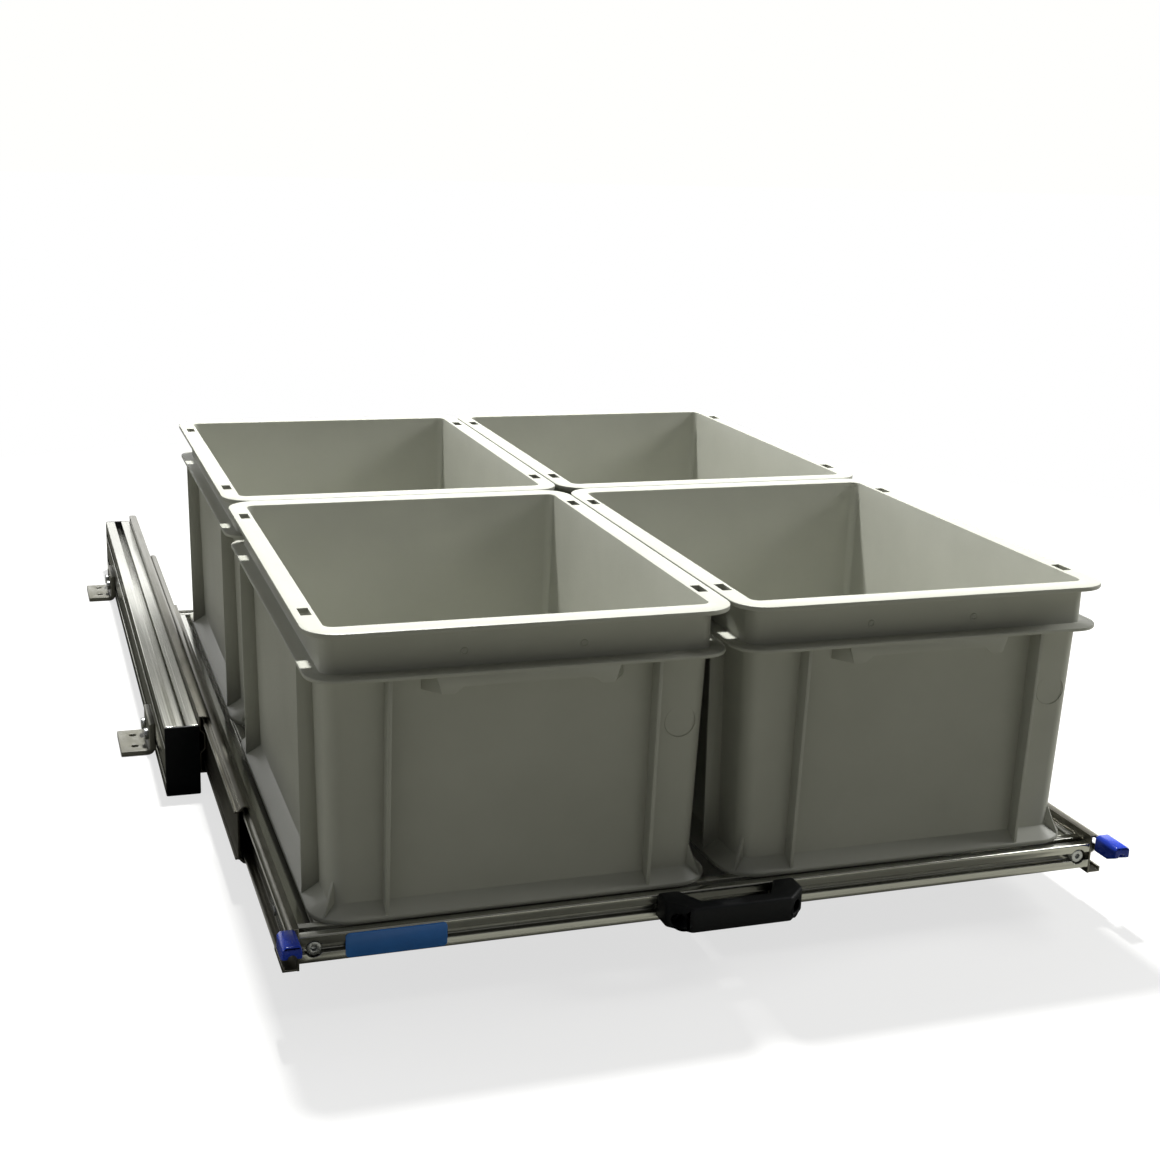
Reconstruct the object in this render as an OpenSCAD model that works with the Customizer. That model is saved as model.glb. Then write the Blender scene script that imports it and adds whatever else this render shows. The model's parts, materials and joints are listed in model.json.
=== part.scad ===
// Pull-out frame that carries four storage bins on a pair of full-extension ball slides.
// The drawer is drawn partly pulled out. X runs across the drawer, -Y is the way it
// pulls out, +Z is up, and the origin is at the middle of the footprint, on the floor.

/* [Bins] */
// Width of a bin over its rim
bin_w = 300; // [280:1:330]
// Depth of a bin over its rim
bin_d = 400; // [370:1:430]
// Height of a bin
bin_h = 208; // [170:1:260]
// Thickness of the moulded walls
bin_wall = 2.6; // [2.2:0.1:3.2]
// Gap between bins that stand side by side
bin_gap_x = 1.6; // [1:0.1:6]
// Gap between bins that stand one behind the other
bin_gap_y = 1.7; // [1:0.1:6]
// Width of the top rim along the sides
rim_side = 15; // [12:0.5:20]
// Width of the top rim along the ends
rim_end = 17.8; // [15:0.2:22]
// Thickness of the top rim
rim_t = 3.5; // [2.5:0.1:5]
// Radius of the rim's outer corners
rim_r = 24; // [18:1:30]
// Height of the neck from the top down to the lower rim
neck_h = 32; // [24:1:40]
// How far the lower rim stands back from the top rim
lower_rim_back = 1.5; // [1:0.1:3]
// Thickness of the lower rim
lower_rim_t = 2.6; // [2:0.1:4]
// Radius of the body's upright corners
body_r = 12; // [9:0.5:14]
// How far each wall leans inwards from the lower rim to the foot
body_draft = 3.3; // [2:0.1:5]
// How far the side panels are set back
panel_back = 4; // [2:0.2:5]
// How far the end panels are set back
end_back = 9; // [6:0.5:10]
// Width of the corner columns beside the end panels
end_column_w = 10; // [8:0.5:20]
// Distance of each end rib from the middle of the bin
rib_off = 94.5; // [86:0.5:106]
// Thickness of the end ribs
rib_t = 2.7; // [2:0.1:4]
// Width of the corner columns beside the side panels
column_w = 44; // [36:1:60]
// Height of the flared foot
foot_h = 10; // [8:0.5:14]
// How far the foot stands back from the rim at the sides
foot_back_side = 4.5; // [3:0.1:8]
// How far the foot stands back from the rim at the ends
foot_back_end = 9.5; // [7:0.1:12]
// Radius of the foot's corners
foot_r = 28; // [20:1:34]
// Height of the corner fins
fin_h = 28; // [20:1:40]
// Width of the hand grip at each end
grip_w = 129; // [110:1:140]
// Height of the grip's hanging lip
grip_h = 7.2; // [5:0.2:9]
// Height of the tabs at both ends of the lip
tab_h = 11.8; // [9.2:0.2:15]
// Width of a tab at the rim
tab_w = 19; // [15:0.5:24]
// Length of a lid slot
lid_slot_l = 15.5; // [9:0.5:18]
// Width of a lid slot
lid_slot_w = 6; // [4:0.5:7]
// Distance from the rim's end to the middle of a lid slot
lid_slot_in = 56.5; // [45:0.5:75]

/* [Drawer frame] */
// Side of the square frame rails
rail = 20; // [20:1:24]
// Opening of the slots in the rails
rail_slot = 6.2; // [5.8:0.1:6.6]
// How far a bin's foot bears on each side rail
seat_side = 9.3; // [5:0.1:10]
// How far a bin's foot bears on the front and rear rails
seat_end = 11.35; // [6:0.05:12]
// Head diameter of the frame screws
frame_head_d = 10; // [9:0.1:10.5]
// Shank diameter of the frame screws
frame_shank_d = 4.8; // [4:0.1:5]
// Length of a frame screw under its head
frame_screw_l = 34; // [28:1:45]

/* [Handle and label] */
// Length of the handle over its legs
handle_w = 106; // [90:1:140]
// Height of the handle
handle_h = 19; // [15:0.5:20]
// How far the handle stands out
handle_out = 32; // [26:1:34]
// Depth of the handle's bar
handle_bar = 12; // [10:0.5:15]
// Width of a leg at its root
handle_leg = 17; // [15:0.5:22]
// How far the outer corners are cut off
handle_cut = 15; // [10:0.5:18]
// How far the middle of the handle lies above its screws
handle_up = 2.5; // [0:0.1:3]
// Length of the label plate
label_w = 70; // [40:1:100]
// Height of the label plate
label_h = 17.5; // [12:0.5:19]
// Thickness of the label plate
label_t = 1.2; // [0.8:0.1:2]
// Distance from the frame's left end to the label
label_in = 31; // [22:1:60]

/* [Slides] */
// Height of the slide's outer member
slide_h = 53; // [50:0.5:56]
// How far the middle of the slides lies below their screws
slide_drop = 3; // [0:0.5:3]
// Thickness of the whole slide
slide_t = 19.1; // [19.1:0.1:21]
// Thickness of the slide's sheet steel
sheet = 1.5; // [1.2:0.1:1.6]
// Diameter of the steel balls
ball_d = 4.5; // [4:0.1:4.6]
// Running clearance between balls and races
race_gap = 0.3; // [0.25:0.05:0.4]
// How far the middle of the outer web stands off the beam
web_bulge = 4.1; // [3:0.1:4.2]
// Balls in each row
balls = 7; // [4:1:12]
// Length of a ball cage
cage_l = 360; // [240:10:390]
// How far the inner member's lower race ends behind its front
race_back = 14; // [8:1:30]
// Screws in each slide member
slide_screws = 4; // [2:1:6]
// Distance from a member's end to its first screw
slide_screw_in = 150; // [130:5:200]
// How far the drawer is pulled out as drawn
open_by = 412; // [0:1:800]

/* [Levers] */
// How far the lever grips reach in front of the drawer
lever_out = 28; // [24:1:50]
// Width of a lever grip
lever_w = 13; // [12:0.5:14]
// Height of a lever grip
lever_h = 13; // [12:0.5:18]
// How far a grip's middle stands beside its strip, towards the beam
lever_shift = 3.4; // [2.5:0.1:3.4]
// Thickness of the steel lock strip
strip_t = 2; // [1.5:0.1:2.2]
// Distance of the lever pivot behind the drawer's front
pivot_in = 62; // [50:1:90]
// Diameter of the lever's rivet
rivet_d = 4; // [3:0.1:5]

/* [Beams and brackets] */
// Width of the fixed beams
beam_w = 30; // [30:1:36]
// Height of the fixed beams
beam_h = 64; // [60:1:72]
// Opening of the slots in the beams
beam_slot = 8.2; // [7.5:0.1:9]
// Thickness of the beams' end caps
cap_t = 3; // [2:0.5:5]
// Length of a bracket along the beam
bracket_l = 60; // [50:1:90]
// Width of a bracket's floor leg
bracket_w = 31; // [28:1:40]
// Height of a bracket's upright leg
bracket_h = 30; // [26:1:40]
// Thickness of the brackets
bracket_t = 5; // [4:0.5:6]
// Inner radius of the brackets' bend
bend_r = 2; // [1:0.5:3]
// Distance from a beam's front end to its bracket
bracket_in = 104; // [60:1:150]
// Distance from a beam's rear end to its bracket
bracket_in_rear = 92; // [60:1:150]
// Distance between the two holes of a leg
hole_pitch = 30; // [24:1:34]
// Diameter of the bracket holes
hole_d = 6.5; // [5.5:0.1:7]
// Distance of the floor holes from the beam
hole_out = 17.5; // [14:0.5:22]

/* [Hidden] */
$fn = 48;
fit = 0.1;
eps = 0.02;

pitch_x = bin_w + bin_gap_x;
pitch_y = bin_d + bin_gap_y;
foot_w = bin_w - 2 * foot_back_side;
foot_d = bin_d - 2 * foot_back_end;
frame_w = pitch_x + foot_w + 2 * (rail - seat_side);
frame_d = pitch_y + foot_d + 2 * (rail - seat_end);
slide_l = frame_d;

half_gap = frame_w / 2 + slide_t;
slide_z = beam_h * 3 / 4;
frame_top = slide_z + rail / 2;
reach = max(lever_out, handle_out);
slide_y = (open_by + reach - slide_l - cap_t) / 2;
front_y = slide_y - open_by;
middle_y = slide_y - open_by / 2;
outer_cage_y = slide_y - open_by / 4 + (slide_l - cage_l) / 2;
inner_cage_y = slide_y - open_by * 3 / 4 + (slide_l - cage_l) / 2;
drawer_y = front_y + frame_d / 2;
side_x = frame_w / 2 - rail / 2;

opening_w = bin_w - 2 * rim_side;
opening_d = bin_d - 2 * rim_end;
opening_r = 7;
neck_w = opening_w + 2 * bin_wall;
neck_d = opening_d + 2 * bin_wall;
shelf_top = bin_h - neck_h;
body_top = shelf_top - lower_rim_t;
body_w = neck_w - bin_wall;
body_d = neck_d;
panel_half_w = body_w / 2 - end_column_w;
panel_half_d = body_d / 2 - column_w;
foot_edge = 3;
floor_z = 4;

rail_lip = 1.7;
rail_slot_deep = 6;
rail_nut_w = 8;
rail_nut_t = 2.8;
beam_lip = 2.2;
beam_slot_deep = 9.3;
beam_nut_w = 13;
beam_nut_t = 3.2;
peg_r = 3.3;

race = ball_d / 2 + race_gap;
race_out = race + sheet;
ball_a = [5.4, slide_h / 2 - sheet - race];
ball_b = [ball_a[0] + 2 * race + sheet, ball_a[1] - 2.4];
inner_half = ball_b[1] - 0.75;
mid_web_x = ball_a[0] + 0.6;
cage_t = 0.8;
strip_x = slide_t - sheet - 3 - strip_t;

aluminium = "#a9a9a0";
zinc = "#7d7f7c";
black = "#101317";
blue = "#1d2f96";
bin_grey = "#67675f";
plate_grey = "#b3b1a4";

// A rectangle about the origin with round corners
module round_rect(w, d, r) {
    square([w - 2 * r, d], center = true);
    square([w, d - 2 * r], center = true);
    for (x = [-1, 1], y = [-1, 1])
        translate([x * (w / 2 - r), y * (d / 2 - r)]) circle(r);
}

// The hollow of a T-slot, drawn from the face at the origin down to its floor
module slot_cut(open, lip, deep, wide) {
    polygon([[-open / 2, 1], [-open / 2, -lip], [-wide / 2, -lip], [-wide / 2, -2 * lip],
        [-open / 2, -deep], [open / 2, -deep], [wide / 2, -2 * lip], [wide / 2, -lip],
        [open / 2, -lip], [open / 2, 1]]);
}

// Section of a slotted rail of one or two cells side by side
module rail_section(cells) {
    difference() {
        round_rect(rail * cells, rail, 1.2);
        for (c = [0 : cells - 1]) translate([(c - (cells - 1) / 2) * rail, 0]) {
            for (a = [0, 180]) rotate(a) translate([0, rail / 2])
                slot_cut(rail_slot, rail_lip, rail_slot_deep, rail * 0.57);
            circle(d = frame_shank_d + 2 * fit);
        }
        for (a = [90, -90]) rotate(a) translate([0, rail * cells / 2])
            slot_cut(rail_slot, rail_lip, rail_slot_deep, rail * 0.57);
    }
}

// Section of the tall beam: two slots in each side, one above and one below
module beam_section() {
    difference() {
        round_rect(beam_w, beam_h, 1.5);
        for (z = [-1, 1], a = [90, -90]) translate([0, z * beam_h / 4]) rotate(a)
            translate([0, beam_w / 2]) slot_cut(beam_slot, beam_lip, beam_slot_deep, beam_w * 0.55);
        for (a = [0, 180]) rotate(a) translate([0, beam_h / 2])
            slot_cut(beam_slot, beam_lip, beam_slot_deep, beam_w * 0.55);
        for (z = [-1, 1]) translate([0, z * beam_h / 4]) circle(peg_r + fit);
    }
}

// Extrudes a section drawn in X and Z along +Y
module along_y(length) {
    translate([0, length, 0]) rotate([90, 0, 0]) linear_extrude(length) children();
}

// Extrudes a section drawn in Y and Z along X, about the middle
module along_x(length) {
    rotate([90, 0, 90]) linear_extrude(length, center = true) children();
}

// Socket screw along -Z with the underside of its head at the origin
module socket_screw(head_d, head_h, shank_d, length) {
    difference() {
        cylinder(d = head_d, h = head_h);
        translate([0, 0, head_h * 0.4]) cylinder(d = shank_d * 0.85, h = head_h, $fn = 6);
    }
    translate([0, 0, -length]) cylinder(d = shank_d, h = length + eps);
}

// Block nut that lies behind a slot's lips, with its bore along Z and its top at the origin
module slot_nut(w, l, t, bore_d) {
    difference() {
        translate([-w / 2, -l / 2, -t]) cube([w, l, t]);
        translate([0, 0, -t - 1]) cylinder(d = bore_d, h = t + 2);
    }
}

// Puts a shape drawn for the left side on the left (-1) or right (1)
module on_side(side) {
    mirror([side > 0 ? 1 : 0, 0, 0]) children();
}

// Puts a slide section drawn from the beam (x = 0) to the drawer (x = slide_t) at its side
module on_slide(side, y) {
    on_side(side) translate([-half_gap, y, slide_z - slide_drop]) children();
}

// Puts a piece of the slides there, with z = 0 at the height of their screws
module on_screws(side, y) {
    on_side(side) translate([-half_gap, y, slide_z]) children();
}

// Fixed beams

module beam(side) {
    color(aluminium) on_side(side)
        translate([-half_gap - beam_w / 2, slide_y, beam_h / 2]) along_y(slide_l) beam_section();
}

module beam_cap(side, rear) {
    color(black) on_side(side)
        translate([-half_gap - beam_w / 2, slide_y + (rear ? slide_l : 0), beam_h / 2])
            mirror([0, rear ? 0 : 1, 0]) {
                along_y(cap_t) round_rect(beam_w, beam_h, 1.5);
                for (z = [-1, 1]) translate([0, -10, z * beam_h / 4])
                    along_y(10 + eps) circle(peg_r);
            }
}

// Places something at the middle of the front (0) or rear (1) bracket, at the beam's face
module at_bracket(side, rear) {
    on_side(side) translate([-half_gap - beam_w, slide_y, 0])
        translate([0, rear ? slide_l - bracket_in_rear - bracket_l / 2 : bracket_in + bracket_l / 2, 0])
            children();
}

// Section of a bracket, bent from plate, with its bend beside the beam
module bracket_section() {
    outer_r = bracket_t + bend_r;
    difference() {
        union() {
            translate([-bracket_w, 0]) square([bracket_w, bracket_t]);
            translate([-bracket_t, 0]) square([bracket_t, bracket_h]);
            translate([-outer_r, bracket_t]) square(bend_r);
        }
        translate([-outer_r, outer_r]) circle(bend_r);
        difference() {
            translate([-outer_r, -1]) square(outer_r + 1);
            translate([-outer_r, outer_r]) circle(outer_r);
        }
    }
}

module bracket(side, rear) {
    color(plate_grey) at_bracket(side, rear) difference() {
        translate([0, -bracket_l / 2, 0]) along_y(bracket_l) bracket_section();
        for (y = [-1, 1]) {
            translate([-hole_out, y * hole_pitch / 2, -1]) cylinder(d = hole_d, h = bracket_t + 2);
            translate([1, y * hole_pitch / 2, beam_h / 4]) rotate([0, -90, 0])
                cylinder(d = hole_d, h = bracket_t + 2);
        }
    }
}

// Places something on each bracket bolt's axis, with +Z away from the beam
module at_bracket_bolts() {
    for (side = [-1, 1], rear = [false, true], y = [-1, 1])
        at_bracket(side, rear) translate([0, y * hole_pitch / 2, beam_h / 4])
            rotate([0, -90, 0]) children();
}

module bracket_bolts() {
    color(zinc) at_bracket_bolts() translate([0, 0, bracket_t])
        socket_screw(hole_d + 4.5, 4, hole_d - 0.6, bracket_t + beam_lip + beam_nut_t);
}

module bracket_nuts() {
    color(zinc) at_bracket_bolts() translate([0, 0, -beam_lip])
        slot_nut(beam_nut_w, 16, beam_nut_t, hole_d - 0.6 + 2 * fit);
}

// Slides

// A stretch of a race: part of a ring of sheet about a ball's centre
module race_arc(centre, from, to) {
    translate(centre) intersection() {
        difference() {
            circle(race_out);
            circle(race);
        }
        polygon(concat([[0, 0]],
            [for (i = [0 : 4]) let (a = from + (to - from) * i / 4)
                2 * race_out * [cos(a), sin(a)]]));
    }
}

// Draws a half section at the top and again, turned over, at the bottom
module both_rows() {
    children();
    mirror([0, 1]) children();
}

module outer_section() {
    h = slide_h / 2;
    f = slide_h / 5;
    b = web_bulge;
    k = sheet * tan(22.5);
    u = slide_drop;
    polygon([[0, h], [0, u + f], [b, u + f - b], [b, u + b - f], [0, u - f], [0, -h], [sheet, -h],
        [sheet, u - f - k], [b + sheet, u + b - f - k], [b + sheet, u + f - b + k],
        [sheet, u + f + k], [sheet, h]]);
    both_rows() {
        translate([0, h - sheet]) square([ball_a[0], sheet]);
        race_arc(ball_a, 38, 92);
    }
}

module middle_section() {
    both_rows() {
        race_arc(ball_a, 240, 350);
        race_arc(ball_b, 15, 190);
    }
    translate([mid_web_x, race - ball_a[1]]) square([sheet, 2 * (ball_a[1] - race)]);
}

module inner_section() {
    both_rows() {
        race_arc(ball_b, 235, 345);
        translate([ball_b[0] + race, inner_half - sheet])
            square([slide_t - ball_b[0] - race, sheet]);
    }
    translate([slide_t - sheet, -inner_half]) square([sheet, 2 * inner_half]);
}

// Middle of each screw along a slide member
screw_ys = [for (i = [0 : slide_screws - 1])
    slide_screw_in + i * (slide_l - 2 * slide_screw_in) / (slide_screws - 1)];

module slide_outer(side) {
    color(zinc) on_slide(side, slide_y) difference() {
        along_y(slide_l) outer_section();
        for (y = screw_ys) translate([web_bulge + sheet, y, slide_drop]) rotate([0, 90, 0]) {
            translate([0, 0, -sheet - 1]) cylinder(d = hole_d, h = sheet + 2);
            translate([0, 0, -sheet]) cylinder(d1 = hole_d, d2 = hole_d + 2 * sheet, h = sheet + eps);
        }
    }
}

module slide_outer_screws() {
    color(zinc) for (side = [-1, 1], y = screw_ys) on_screws(side, slide_y)
        translate([web_bulge + sheet, y, 0]) rotate([0, 90, 0]) difference() {
            union() {
                translate([0, 0, -sheet])
                    cylinder(d1 = hole_d - 2 * fit, d2 = hole_d + 2 * sheet - 2 * fit, h = sheet);
                translate([0, 0, -web_bulge - sheet - beam_lip - beam_nut_t])
                    cylinder(d = hole_d - 0.6, h = web_bulge + beam_lip + beam_nut_t + eps);
            }
            translate([0, 0, -sheet]) cylinder(d = 3, h = sheet + 1, $fn = 6);
        }
}

module slide_outer_nuts() {
    color(zinc) for (side = [-1, 1], y = screw_ys) on_screws(side, slide_y)
        translate([-beam_lip, y, 0]) rotate([0, 90, 0])
            slot_nut(beam_nut_w, 16, beam_nut_t, hole_d - 0.6 + 2 * fit);
}

module slide_middle(side) {
    color(zinc) on_slide(side, middle_y) along_y(slide_l) middle_section();
}

module slide_inner(side) {
    color(zinc) on_slide(side, front_y) difference() {
        along_y(slide_l) inner_section();
        for (y = screw_ys) translate([slide_t - sheet - 1, y, slide_drop]) rotate([0, 90, 0])
            cylinder(d = frame_shank_d + 2 * fit, h = sheet + 2);
        translate([slide_t - sheet - 1, pivot_in, slide_drop + pivot_z]) rotate([0, 90, 0])
            cylinder(d = rivet_d, h = sheet + 2);
        translate([0, -1, -slide_h]) cube([slide_t - sheet, race_back + 1, slide_h - inner_half / 2]);
    }
}

module slide_inner_screws() {
    color(zinc) for (side = [-1, 1], y = screw_ys) on_screws(side, front_y)
        translate([slide_t - sheet, y, 0]) rotate([0, -90, 0])
            socket_screw(9.2, 2.4, frame_shank_d, sheet + rail_lip + rail_nut_t);
}

module slide_inner_nuts() {
    color(zinc) for (side = [-1, 1], y = screw_ys) on_screws(side, front_y)
        translate([slide_t + rail_lip, y, 0]) rotate([0, -90, 0])
            slot_nut(rail_nut_w, 12, rail_nut_t, frame_shank_d + 2 * fit);
}

// Middle of each ball along its cage
ball_ys = [for (i = [0 : balls - 1]) (i + 0.5) * cage_l / balls];

// A strip along a row of balls, with a pocket round each
module cage(centre, strip_from, strip_to) {
    for (m = [0, 1]) mirror([0, 0, m]) difference() {
        translate([strip_from, 0, centre[1] - cage_t / 2])
            cube([strip_to - strip_from, cage_l, cage_t]);
        for (y = ball_ys) translate([centre[0], y, centre[1] - 1])
            cylinder(d = ball_d + 2 * fit, h = 2);
    }
}

module row_balls(centre) {
    for (m = [0, 1], y = ball_ys) mirror([0, 0, m]) translate([centre[0], y, centre[1]])
        sphere(d = ball_d);
}

module outer_cage(side) {
    color("#8d8f8c") on_slide(side, outer_cage_y)
        cage(ball_a, sheet + race_gap, ball_a[0] + race - race_gap);
}

module inner_cage(side) {
    color("#8d8f8c") on_slide(side, inner_cage_y)
        cage(ball_b, ball_b[0] - race + race_gap, ball_b[0] + race_out + 1.2);
}

module outer_balls() {
    color("silver") for (side = [-1, 1]) on_slide(side, outer_cage_y) row_balls(ball_a);
}

module inner_balls() {
    color("silver") for (side = [-1, 1]) on_slide(side, inner_cage_y) row_balls(ball_b);
}

// Drawer frame

// Hole along -Z for a frame screw: a counterbore down to the rail's core, then a clear bore
module screw_hole() {
    translate([0, 0, -rail_slot_deep]) cylinder(d = frame_head_d + 2, h = rail_slot_deep + 1);
    translate([0, 0, -rail - 1]) cylinder(d = frame_shank_d + 4 * fit, h = rail + 1);
}

module frame_screw() {
    translate([0, 0, -rail_slot_deep])
        socket_screw(frame_head_d, rail_slot_deep - 1, frame_shank_d, frame_screw_l);
}

// Places something on each corner screw's axis, with +Z out of the frame
module at_corner_screws(ends) {
    for (side = [-1, 1], e = ends)
        translate([side * side_x, drawer_y + e * frame_d / 2, slide_z])
            rotate([e * -90, 0, 0]) children();
}

module end_rail(e) {
    color(aluminium) difference() {
        translate([0, drawer_y + e * (frame_d - rail) / 2, slide_z])
            along_x(frame_w) rail_section(1);
        at_corner_screws([e]) screw_hole();
    }
}

module at_cross_screws(sides) {
    for (side = sides, y = [-1, 1])
        translate([side * frame_w / 2, drawer_y + y * rail / 2, slide_z])
            rotate([0, side * 90, 0]) children();
}

module side_rail(side) {
    color(aluminium) difference() {
        translate([side * side_x, front_y + rail, slide_z])
            along_y(frame_d - 2 * rail) rail_section(1);
        at_cross_screws([side]) screw_hole();
    }
}

module cross_rail() {
    color(aluminium) translate([0, drawer_y, slide_z])
        along_x(frame_w - 2 * rail) rail_section(2);
}

module corner_screws() {
    color(zinc) at_corner_screws([-1, 1]) frame_screw();
}

module cross_rail_screws() {
    color(zinc) at_cross_screws([-1, 1]) frame_screw();
}

// Handle and label

screw_x = (handle_w - handle_leg) / 2;

module handle_profile() {
    w = handle_w / 2;
    inner = w - handle_leg;
    difference() {
        polygon([[-w, 0], [-w, -(handle_out - handle_cut)], [-(w - handle_cut), -handle_out],
            [w - handle_cut, -handle_out], [w, -(handle_out - handle_cut)], [w, 0]]);
        polygon([[-inner, 1], [-inner, -2], [-(inner - 10), handle_bar - handle_out],
            [inner - 10, handle_bar - handle_out], [inner, -2], [inner, 1]]);
    }
}

module handle() {
    color(black) translate([0, front_y, slide_z]) difference() {
        translate([0, 0, handle_up - handle_h / 2]) linear_extrude(handle_h) handle_profile();
        for (x = [-screw_x, screw_x]) translate([x, 0, 0]) rotate([90, 0, 0]) {
            translate([0, 0, -1]) cylinder(d = frame_shank_d + 4 * fit, h = handle_out + 2);
            translate([0, 0, 9]) cylinder(d = frame_head_d - 0.5, h = handle_out);
        }
    }
}

module handle_screws() {
    color(zinc) for (x = [-screw_x, screw_x]) translate([x, front_y - 9, slide_z])
        rotate([90, 0, 0]) socket_screw(frame_head_d - 1, 5, frame_shank_d, 9 + rail_lip + rail_nut_t);
}

module handle_nuts() {
    color(zinc) for (x = [-screw_x, screw_x]) translate([x, front_y + rail_lip, slide_z])
        rotate([90, 0, 0]) rotate(90) slot_nut(rail_nut_w, 12, rail_nut_t, frame_shank_d + 2 * fit);
}

module label_plate() {
    color("#1f5496") translate([label_in + label_w / 2 - frame_w / 2, front_y, slide_z])
        rotate([90, 0, 0]) linear_extrude(label_t) round_rect(label_w, label_h, 3);
}

// Levers that unlatch the slides

pivot_z = 1;
lever_top = 17.5;
lever_mid_z = lever_top - lever_h / 2;
strip_neck = 9;

// Side view of the lock strip: a latch tail, the pivot eye and a nose under the grip
module strip_profile() {
    difference() {
        polygon([[-lever_out + 4, lever_mid_z - 1], [-lever_out + 4, lever_mid_z + 4],
            [-6, lever_mid_z + 4], [-1, strip_neck], [pivot_in, strip_neck - 2],
            [pivot_in + 22, 6], [pivot_in + 22, -6], [pivot_in + 15, -6], [pivot_in + 12, -3],
            [6, -1], [-2, lever_mid_z - 4]]);
        translate([pivot_in, pivot_z]) circle(d = rivet_d + 2 * fit);
    }
}

module lock_strip(side) {
    color(zinc) on_screws(side, front_y) translate([strip_x + strip_t / 2, 0, 0])
        along_x(strip_t) strip_profile();
}

// Front view of the grip: a cap with round shoulders over an arch
module grip_section() {
    r = 3.5;
    arch_r = lever_w * 0.23;
    difference() {
        union() {
            translate([-lever_w / 2, 0]) square([lever_w, lever_h - r]);
            translate([-lever_w / 2 + r, 0]) square([lever_w - 2 * r, lever_h]);
            for (x = [-1, 1]) translate([x * (lever_w / 2 - r), lever_h - r]) circle(r);
        }
        translate([-arch_r, -1]) square([2 * arch_r, lever_h * 0.55 - arch_r + 1]);
        translate([0, lever_h * 0.55 - arch_r]) circle(arch_r);
    }
}

// Side view of the grip: deep at the back, with its lower front corner cut away
module grip_side() {
    polygon([[0, lever_h * 0.35], [0, lever_h - 1.5], [1.5, lever_h], [lever_out - 2, lever_h],
        [lever_out - 2, 0], [lever_out * 0.35, 0]]);
}

module lever_grip(side) {
    strip_mid = strip_x + strip_t / 2;
    color(blue) on_screws(side, front_y) translate([strip_mid, -lever_out, lever_top - lever_h])
        difference() {
            translate([-lever_shift, 0, 0]) intersection() {
                along_y(lever_out) grip_section();
                along_x(lever_w + 2) grip_side();
            }
            translate([-strip_t / 2 - fit, 2, -1])
                cube([strip_t + 2 * fit, lever_out, lever_h / 2 + 5 + fit]);
        }
}

module lever_rivets() {
    color("silver") for (side = [-1, 1]) on_screws(side, front_y)
        translate([0, pivot_in, pivot_z]) rotate([0, 90, 0]) {
            translate([0, 0, strip_x - 1.2]) cylinder(d = rivet_d + 3, h = 1.2);
            translate([0, 0, strip_x - eps]) cylinder(d = rivet_d, h = slide_t - strip_x);
        }
}

// Bins

// A solid that narrows from one rounded outline to another
module lofted(low, low_z, high, high_z, r_low, r_high) {
    hull() {
        translate([0, 0, low_z]) linear_extrude(eps) round_rect(low[0], low[1], r_low, $fn = 32);
        translate([0, 0, high_z - eps]) linear_extrude(eps)
            round_rect(high[0], high[1], r_high, $fn = 32);
    }
}

// A slab that lies along a leaning wall, from a set depth inside its face outwards,
// across the Y wall of a body with the given half depth at the top
module leaning_slab(half, depth, width, low_z, high_z) {
    lean = body_draft / (body_top - foot_h);
    along_x(width) polygon([
        [half - depth - body_draft + (low_z - foot_h) * lean, low_z],
        [half - depth - body_draft + (high_z - foot_h) * lean, high_z],
        [half + 20, high_z], [half + 20, low_z]]);
}

// The set-back panels of all four walls, grown inwards by extra
module panels(extra, end_z, side_z, top_z) {
    for (a = [0, 180]) rotate(a)
        leaning_slab(body_d / 2, end_back + extra, 2 * (panel_half_w + extra), end_z, top_z);
    for (a = [90, -90]) rotate(a)
        leaning_slab(body_w / 2, panel_back + extra, 2 * (panel_half_d + extra), side_z, top_z);
}

// Does something at all four corners
module four_corners() {
    for (mx = [0, 1], my = [0, 1]) mirror([mx, 0, 0]) mirror([0, my, 0]) children();
}

// Rib of a bin's end wall, from the foot to the edge of the lower rim
module end_rib(x) {
    root = body_d / 2 - end_back - 1;
    top = bin_d / 2 - lower_rim_back - 2.7;
    translate([x, 0, 0]) along_x(rib_t) polygon([
        [root - body_draft, foot_edge], [foot_d / 2 - 1, foot_edge], [foot_d / 2 - 1, foot_h],
        [top, body_top + 1], [root, body_top + 1]]);
}

// Hanging grip under the lower rim of a bin's end: a lip between two deeper tabs, and
// from each tab a wing that slants back to the wall
module end_grip() {
    y = bin_d / 2 - lower_rim_back;
    w = grip_w / 2;
    wall_y = body_d / 2 - end_back - 1;
    translate([0, y, body_top]) rotate([90, 0, 0]) linear_extrude(bin_wall) polygon([
        [-w, 1], [4 - w, -tab_h], [13 - w, -tab_h], [tab_w - w, -grip_h],
        [w - tab_w, -grip_h], [w - 13, -tab_h], [w - 4, -tab_h], [w, 1]]);
    for (side = [0, 1]) mirror([side, 0, 0])
        translate([0, 0, body_top - tab_h]) linear_extrude(tab_h + 1)
            polygon([[w - 4, y], [w - 5.5, y - 2], [w + 5, wall_y], [w + 7.5, wall_y]]);
}

// Fin that braces a corner of the foot against the body
module corner_fin() {
    from = [body_w / 2 - body_draft - body_r * 0.45, body_d / 2 - body_draft - body_r * 0.45];
    to = [foot_w / 2 - foot_r * 0.293, foot_d / 2 - foot_r * 0.293];
    reach = norm(to - from);
    translate([from[0], from[1], 0]) rotate(atan2(to[1] - from[1], to[0] - from[0]))
        rotate([90, 0, 0]) linear_extrude(2.2, center = true)
            polygon([[0, foot_edge], [reach - 0.3, foot_edge], [2.5, fin_h], [0, fin_h]]);
}

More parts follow.
